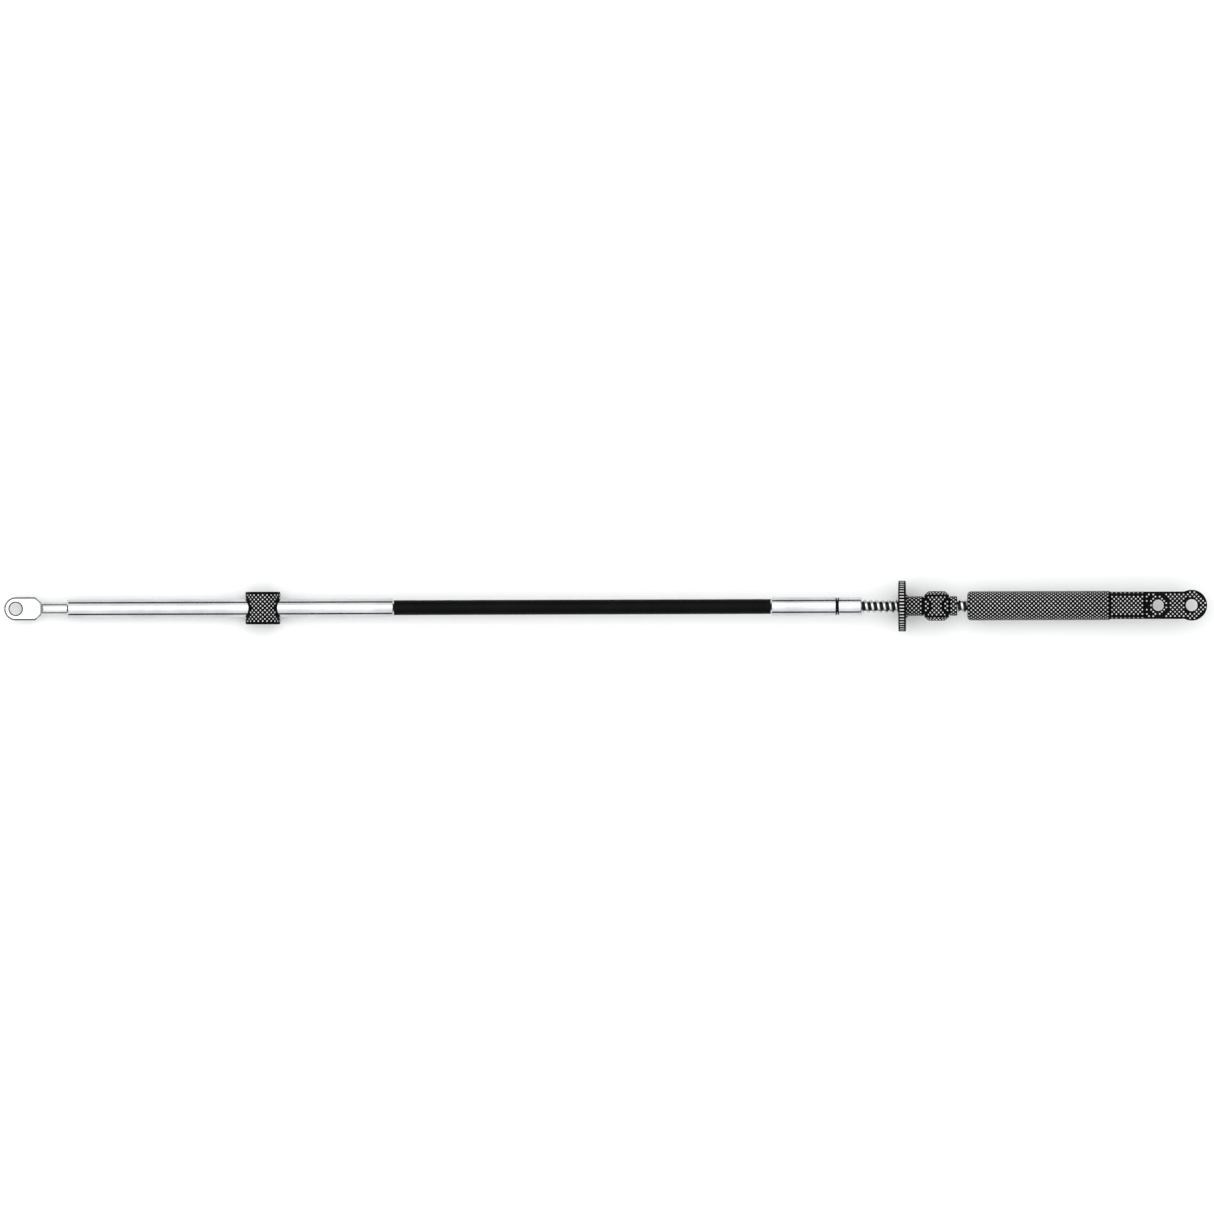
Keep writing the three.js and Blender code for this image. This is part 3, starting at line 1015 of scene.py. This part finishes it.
        # Painted shade: the collar's chamfer that meets the crimp sleeve is coloured dark as the groove's
        # shade.
        joint = start + self.joint_shade_width
        paint(obj, THREADED_STEEL, JOINT_SHADE_STEEL, lambda middle: middle.x < joint)
        combine(obj, self.screw(), Join.ADD)
        far = end + self.thread_length + 1
        near = start - self.spigot_length - 1
        combine(obj, turned("passage", [(near, self.passage), (far, self.passage)], 48), Join.CUT)
        finish_piece(obj, Body.CONDUIT, "threaded_steel", THREADED_STEEL, "threaded_tube")

    def build(self) -> None:
        """Builds the engine end's steel pieces."""
        self.crimp_sleeve()
        self.threaded_tube()


@dataclass
class Adjuster:
    """The thumbwheel nut, and the barrel that it turns in. Sizes in mm."""

    start: float = 468.6
    wheel_radius: float = 13.5
    wheel_thickness: float = 3.9
    wheel_edge: float = 0.5
    rib_count: int = 48
    rib_depth: float = 0.55
    neck: float = 5.1
    neck_length: float = 9.5
    fillet: float = 2.2
    journal: float = 4.5
    thread_hole: float = 3.8
    barrel_centre: float = 488.9
    barrel_radius: float = 6.6
    barrel_half: float = 7.8
    barrel_edge: float = 2.2
    barrel_bore: float = 4.8
    barrel_boss: float = 5.6
    barrel_boss_end: float = 6.5
    gap: float = 0.3
    end_collar: float = 4.0
    rim_round: float = 0.15
    bar_end: float = 0.8
    neck_edge: float = 0.3
    collar_edge: float = 0.5
    barrel_round: float = 0.18
    bare_rim: float = 0.8
    bare_mouth: float = 0.35
    bare_edge: float = 0.3
    collar_bare: float = 0.9
    collar_dotted: float = 2.3
    collar_last: float = 3.3
    upper_row: float = 0.7
    lower_row: float = 1.5
    boss_rows: int = 5
    worn_depth: float = 0.1
    pips: Pips = field(default_factory=Pips)

    def wheel(self) -> Object:
        """Draws the rim with its ribs, and extrudes it through the rounds of both edges."""
        per_rib = 6
        radius = self.wheel_radius
        obj = ring("wheel", self.start, radius, per_rib * self.rib_count, filled=False)
        valley = (radius - self.rib_depth) / radius
        for index, vertex in enumerate(obj.data.vertices):
            if index % per_rib >= per_rib // 2:
                vertex.co.y *= valley
                vertex.co.z *= valley
        low = radius - self.wheel_edge
        near_rim = radius - self.rim_round
        end = self.wheel_thickness
        stations = [
            (0, low),
            (self.rim_round, near_rim),
            (self.wheel_edge, radius),
            (self.bar_end, radius),
            (end - self.bar_end, radius),
            (end - self.wheel_edge, radius),
            (end - self.rim_round, near_rim),
            (end, low),
        ]
        only(obj)
        bpy.ops.object.mode_set(mode="EDIT")
        bpy.ops.mesh.select_all(action="SELECT")
        bpy.ops.mesh.edge_face_add()
        shrink = low / radius
        bpy.ops.transform.resize(value=(1, shrink, shrink), center_override=(self.start, 0, 0))
        extrude_rings([(self.start + along, out) for along, out in stations])
        leave_edit_mode()
        return obj

    def on_crest(self, at: Vector) -> bool:
        """Says whether a face lies on the middle of a rib's crest, which is rubbed pale."""
        high = math.hypot(at.y, at.z) > self.wheel_radius - self.worn_depth
        return high and self.bar_end < at.x - self.start < self.wheel_thickness - self.bar_end

    def nut(self) -> None:
        """Joins the wheel to its neck, journal and end collar, and bores the thread's hole."""
        face = self.start + self.wheel_thickness
        neck_end = face + self.neck_length
        collar = self.barrel_centre + self.barrel_radius + self.gap
        end = collar + self.end_collar
        fillet = [
            (
                face + self.fillet - self.fillet * math.cos(math.radians(angle)),
                self.neck + self.fillet - self.fillet * math.sin(math.radians(angle)),
            )
            for angle in range(0, 91, 15)
        ]
        stem = turned(
            "stem",
            [
                (face - 1, self.neck + self.fillet),
                *fillet,
                (neck_end, self.neck, self.neck_edge),
                (neck_end, self.journal),
                (collar, self.journal),
                (collar, self.neck, self.neck_edge),
                (end, self.neck, self.collar_edge),
                (end, self.journal),
            ],
        )
        obj = combine(self.wheel(), stem, Join.ADD)
        hole = [(self.start - 1, self.thread_hole), (end + 1, self.thread_hole)]
        combine(obj, turned("thread_hole", hole, 64), Join.CUT)
        obj.name = obj.data.name = "thumbwheel_nut_moulding"
        paint(obj, NYLON, WORN_NYLON, self.on_crest)
        finish_piece(obj, Body.NUT, "wheel_nylon", NYLON, "thumbwheel_nut")

    def nut_pips(self) -> None:
        """Covers the neck, its fillet and the end collar with pips."""
        face = self.start + self.wheel_thickness
        begin = face + self.fillet
        stop = face + self.neck_length - self.bare_rim
        pips = self.pips.round_field("thumbwheel_neck_pips", begin, stop - begin, self.neck)
        count = self.pips.round_count(self.neck)
        centre = (begin, self.neck + self.fillet)
        for lean in (30, 60):
            self.pips.curved_ring(pips, count, centre, -self.fillet, lean)
        collar = self.barrel_centre + self.barrel_radius + self.gap
        end = self.pips.round_field("collar", collar + self.collar_bare, self.collar_dotted, self.neck)
        last = collar + self.collar_last
        self.pips.keep(merge(pips, end), lambda at: at.x < stop or collar < at.x < last)
        finish_piece(pips, Body.NUT, "wheel_nylon", NYLON)

    def barrel(self) -> None:
        """Turns the barrel across the cable with its sloped ends, bores it and covers it with pips."""
        outline = [
            (-self.barrel_half, self.barrel_radius - self.barrel_edge),
            (-self.barrel_half + self.barrel_edge, self.barrel_radius, self.neck_edge),
            (self.barrel_half - self.barrel_edge, self.barrel_radius, self.neck_edge),
            (self.barrel_half, self.barrel_radius - self.barrel_edge),
        ]
        obj = turn_across(turned("adjuster_barrel_moulding", outline))
        end = self.barrel_boss_end
        combine(obj, turned("boss", [(-end, self.barrel_boss), (end, self.barrel_boss)]), Join.ADD)
        reach = 2 * self.barrel_radius
        hole = [(-reach, self.barrel_bore), (reach, self.barrel_bore)]
        combine(obj, turned("barrel_hole", hole), Join.CUT)
        move_along(soften(obj, self.barrel_round), self.barrel_centre)
        finish_piece(obj, Body.BARREL, "moulded_nylon", NYLON, "adjuster_barrel")
        side = self.barrel_half - self.barrel_edge
        pitch = self.pips.pitch
        dotted = int(2 * side / pitch) * pitch
        pips = self.pips.round_field("adjuster_barrel_pips", -dotted / 2, dotted, self.barrel_radius)
        count = self.pips.round_count(self.barrel_radius)
        for step, down in ((1, self.upper_row), (0, self.lower_row)):
            for way in (1, -1):
                place = (way * (side + down), self.barrel_radius - down)
                self.pips.sloped_ring(pips, count, place, way * math.pi / 4, step)
        turn_across(pips)
        clear = self.barrel_boss + self.bare_mouth
        past_edge = side + self.bare_edge
        self.pips.keep(
            pips, lambda at: not side < abs(at.y) < past_edge and math.hypot(at.y, at.z) > clear
        )
        half = self.boss_rows / 2 * pitch
        collar = self.pips.round_field("boss", -half, 2 * half, self.barrel_boss)
        proud = self.barrel_radius + self.bare_mouth
        last = end - self.pips.base
        self.pips.keep(collar, lambda at: abs(at.x) < last and math.hypot(at.x, at.z) > proud)
        merge(pips, collar)
        finish_piece(move_along(pips, self.barrel_centre), Body.BARREL, "moulded_nylon", NYLON)

    def build(self) -> None:
        """Builds the nut, its pips and the barrel."""
        self.nut()
        self.nut_pips()
        self.barrel()


@dataclass
class EndGuide:
    """The guide over the threaded tube: bored tube, shoulder, flat blade with a boss, and eye. In mm."""

    start: float = 505.2
    radius: float = 7.6
    bore: float = 3.9
    bore_depth: float = 70.0
    socket_radius: float = 1.8
    socket_depth: float = 12.0
    tube_length: float = 75.7
    mouth_round: float = 2.0
    shoulder_length: float = 18.2
    shoulder_thickness: float = 10.0
    blade_thickness: float = 6.0
    blade_width: float = 14.5
    pin_setback: float = 7.4
    pin_hole: float = 3.0
    boss_radius: float = 5.55
    boss_height: float = 0.5
    hole_spacing: float = 17.775
    end_hole: float = 3.175
    end_radius: float = 8.175
    tube_edge: float = 0.4
    inset: float = 0.02
    moulding_round: float = 0.22
    first_row: float = 0.1
    mouth_lean: float = -32
    blade_rows: float = 3.5
    # How far the pips stay from the edges beside them.
    bare_tube_end: float = 0.75
    bare_step: float = 0.7
    bare_shoulder_end: float = 0.62
    bare_corner: float = 0.4
    bare_flat: float = 0.58
    bare_boss: float = 0.7
    bare_hole: float = 0.85
    bare_pin: float = 0.7
    bare_rim: float = 0.6
    bare_side: float = 0.25
    bare_start: float = 0.65
    pips: Pips = field(default_factory=Pips)

    def __post_init__(self) -> None:
        """Works out the stations along the guide."""
        self.tube_end = self.start + self.tube_length
        self.shoulder_end = self.tube_end + self.shoulder_length
        self.pin = self.shoulder_end + self.pin_setback
        self.end = self.pin + self.hole_spacing

    def moulding(self) -> Object:
        """Builds the guide's one moulding from its tube, shoulder, blade, boss and eye, and bores it."""
        half = self.blade_width / 2
        tube = turned(
            "end_guide_moulding",
            [
                (self.start, self.radius - self.mouth_round),
                (self.start, self.radius, self.mouth_round),
                (self.tube_end, self.radius, self.tube_edge),
                (self.tube_end, self.radius - self.mouth_round),
            ],
        )
        thick = self.shoulder_thickness / 2
        shoulder = flat_piece(
            "shoulder",
            Vector((self.tube_end - 1, -half, -thick)),
            Vector((self.shoulder_end, half, thick)),
        )
        within = self.radius - self.inset
        limit = turned("limit", [(self.tube_end - 5, within), (self.end, within)])
        combine(shoulder, limit, Join.KEEP)
        thin = self.blade_thickness / 2
        blade = flat_piece(
            "blade", Vector((self.tube_end - 0.5, -half, -thin)), Vector((self.end, half, thin))
        )
        eye = upright_bar("end_eye", self.end, self.end_radius, self.blade_thickness)
        boss = upright_bar("boss", self.pin, self.boss_radius, self.blade_thickness + 2 * self.boss_height)
        for piece in (shoulder, blade, eye, boss):
            combine(tube, piece, Join.ADD)
        for at, radius in ((self.pin, self.pin_hole), (self.end, self.end_hole)):
            combine(tube, upright_bar("hole", at, radius, 4 * self.blade_thickness), Join.CUT)
        deep = self.start + self.bore_depth
        bore = turned(
            "bore",
            [
                (self.start - 1, self.bore + 1.5),
                (self.start, self.bore + 0.5),
                (self.start + 0.5, self.bore),
                (deep, self.bore),
                (deep, self.socket_radius),
                (deep + self.socket_depth, self.socket_radius),
            ],
        )
        combine(tube, bore, Join.CUT)
        return soften(tube, self.moulding_round)

    def on_blade(self, at: Vector) -> bool:
        """Says whether a pip may stand on the blade's or the end eye's flat."""
        from_pin = math.hypot(at.x - self.pin, at.y)
        from_end = math.hypot(at.x - self.end, at.y)
        if from_pin < self.boss_radius + self.bare_boss or from_end < self.end_hole + self.bare_hole:
            return False
        edge = self.pips.base + self.bare_side
        on_strip = at.x < self.end and abs(at.y) < self.blade_width / 2 - edge
        on_eye = from_end < self.end_radius - edge
        return at.x > self.shoulder_end + self.bare_start and (on_strip or on_eye)

    def on_boss(self, at: Vector) -> bool:
        """Says whether a pip may stand on the boss."""
        away = math.hypot(at.x - self.pin, at.y)
        return self.pin_hole + self.bare_pin < away < self.boss_radius - self.bare_rim

    def on_shoulder(self, at: Vector) -> bool:
        """Says whether a pip stands along the shoulder, clear of its two ends."""
        return self.tube_end + self.bare_step < at.x < self.shoulder_end - self.bare_shoulder_end

    def on_side(self, at: Vector) -> bool:
        """Says whether a pip may stand on the round of the tube or of the shoulder."""
        if at.x < self.tube_end - self.bare_tube_end:
            return True
        edge = self.blade_width / 2 - self.bare_corner
        flank = self.shoulder_thickness / 2 - self.bare_corner
        return self.on_shoulder(at) and abs(at.y) < edge and abs(at.z) < flank

    def pip_fields(self) -> None:
        """Covers the tube, the shoulder, the blade, the boss and the end eye with pips, above and below."""
        begin = self.start + self.mouth_round + self.first_row
        pitch = self.pips.pitch
        sides = self.pips.round_field("guide_round_pips", begin, self.shoulder_end - begin, self.radius)
        self.pips.keep(sides, self.on_side)
        centre = (self.start + self.mouth_round, self.radius - self.mouth_round)
        count = self.pips.round_count(self.radius)
        self.pips.curved_ring(sides, count, centre, self.mouth_round, self.mouth_lean)
        flat = math.sqrt(self.radius**2 - (self.shoulder_thickness / 2) ** 2) - self.bare_flat
        first = begin + pitch * math.floor((self.tube_end - begin) / pitch)
        shoulder = self.flat_pips(first, self.shoulder_end, flat, self.shoulder_thickness / 2)
        strip = flat + 0.1
        self.pips.keep(shoulder, lambda at: self.on_shoulder(at) and abs(at.y) < strip)
        reach = self.blade_rows * pitch
        blade = self.flat_pips(first, self.end + self.end_radius, reach, self.blade_thickness / 2)
        self.pips.keep(blade, self.on_blade)
        height = self.blade_thickness / 2 + self.boss_height
        boss = self.flat_pips(first, self.pin + self.boss_radius, reach, height)
        self.pips.keep(boss, self.on_boss)
        flats = merge(merge(shoulder, blade), boss)
        flats.name = flats.data.name = "guide_flat_pips"
        self.pips.turn_under(flats)
        for piece in (sides, flats):
            finish_piece(piece, Body.GUIDE, "moulded_nylon", NYLON)

    def flat_pips(self, begin: float, end: float, half: float, height: float) -> Object:
        """Covers a flat stretch with pips, in rows that lie the same on either side of the middle."""
        pitch = self.pips.pitch
        reach = (math.floor(half / pitch - 0.5) + 0.5) * pitch
        low = Vector((begin, -reach - pitch, height))
        return self.pips.flat_field("flat", low, Vector((end, reach, height)))

    def build(self) -> None:
        """Builds the guide and its pips."""
        obj = self.moulding()
        finish_piece(obj, Body.GUIDE, "moulded_nylon", NYLON, "end_guide")
        self.pip_fields()


@dataclass
class Studio:
    """A pale floor, soft light from above and a camera that looks straight down, as the drawing does."""

    frame_width: float = 0.6444
    aim: tuple[float, float] = (0.0007, 0.0)
    roll: float = math.radians(-0.18)
    camera_height: float = 0.8
    floor_size: float = 8.0
    dark_up_to: float = 0.36
    bright_from: float = 0.46
    brightest_from: float = 0.8
    brightness: float = 2.0

    def camera(self) -> None:
        """Sets the level camera over the cable's middle."""
        data = bpy.data.cameras.new("camera")
        data.type = "ORTHO"
        data.ortho_scale = self.frame_width
        camera = bpy.data.objects.new("camera", data)
        camera.location = (*self.aim, self.camera_height)
        camera.rotation_euler = (0, 0, self.roll)
        bpy.context.scene.collection.objects.link(camera)
        bpy.context.scene.camera = camera

    def floor(self) -> None:
        """Lays the pale floor under the cable."""
        bpy.ops.object.select_all(action="DESELECT")
        bpy.ops.mesh.primitive_plane_add(size=self.floor_size)
        floor = bpy.context.object
        floor.name = "floor"
        material = bpy.data.materials.new("floor_paint")
        material.use_nodes = True
        shader = material.node_tree.nodes["Principled BSDF"]
        shader.inputs["Base Color"].default_value = linear("#F7F7F6")
        shader.inputs["Roughness"].default_value = 0.9
        shader.inputs["Specular IOR Level"].default_value = 0.1
        floor.data.materials.append(material)

    def light(self, name: str, place: Vector, size: tuple[float, float], power: float) -> None:
        """Hangs one soft rectangular light that faces the cable's middle."""
        data = bpy.data.lights.new(name, "AREA")
        data.shape = "RECTANGLE"
        data.size, data.size_y = size
        data.energy = power
        lamp = bpy.data.objects.new(name, data)
        lamp.location = place
        lamp.rotation_euler = (-place).to_track_quat("-Z", "Y").to_euler()
        bpy.context.scene.collection.objects.link(lamp)

    def world(self) -> None:
        """Lights the room from above, and darkens it above the horizon so that bright steel has edges."""
        world = bpy.data.worlds.new("room")
        world.use_nodes = True
        tree = world.node_tree
        view = add_node(tree, "NodeTexCoord").outputs["Generated"]
        up = add_node(tree, "NodeSeparateXYZ", {"Vector": view}).outputs["Z"]
        height = add_node(tree, "NodeMapRange", {"Value": up, "From Min": -1.0, "From Max": 1.0})
        ramp = add_node(tree, "NodeValToRGB", {"Fac": height.outputs["Result"]})
        dark, pale, bright = (linear(tone) for tone in ("#0C0D0F", "#D5D6D7", "#F6F7F8"))
        stops = ramp.color_ramp.elements
        for stop in stops:
            stop.color = bright
        for level, colour in (
            (-0.02, bright),
            (0.0, dark),
            (self.dark_up_to, dark),
            (self.bright_from, pale),
            (self.brightest_from, pale),
        ):
            stops.new((level + 1) / 2).color = colour
        back = tree.nodes["Background"]
        tree.links.new(ramp.outputs["Color"], back.inputs["Color"])
        back.inputs["Strength"].default_value = self.brightness
        bpy.context.scene.world = world
        bpy.context.scene.view_settings.view_transform = "Standard"

    def build(self) -> None:
        """Sets camera, floor and lights."""
        self.camera()
        self.floor()
        self.light("key", place=Vector((-0.2, 0.3, 1.1)), size=(1.4, 0.6), power=2.5)
        self.world()


def main() -> None:
    """Builds the cable from end to end in its studio."""
    logging.basicConfig(level=logging.INFO, format="%(message)s")
    Studio().build()
    Conduit().build()
    ControlEnd().build()
    EngineEnd().build()
    Adjuster().build()
    EndGuide().build()
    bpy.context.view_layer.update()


if __name__ == "__main__":
    main()
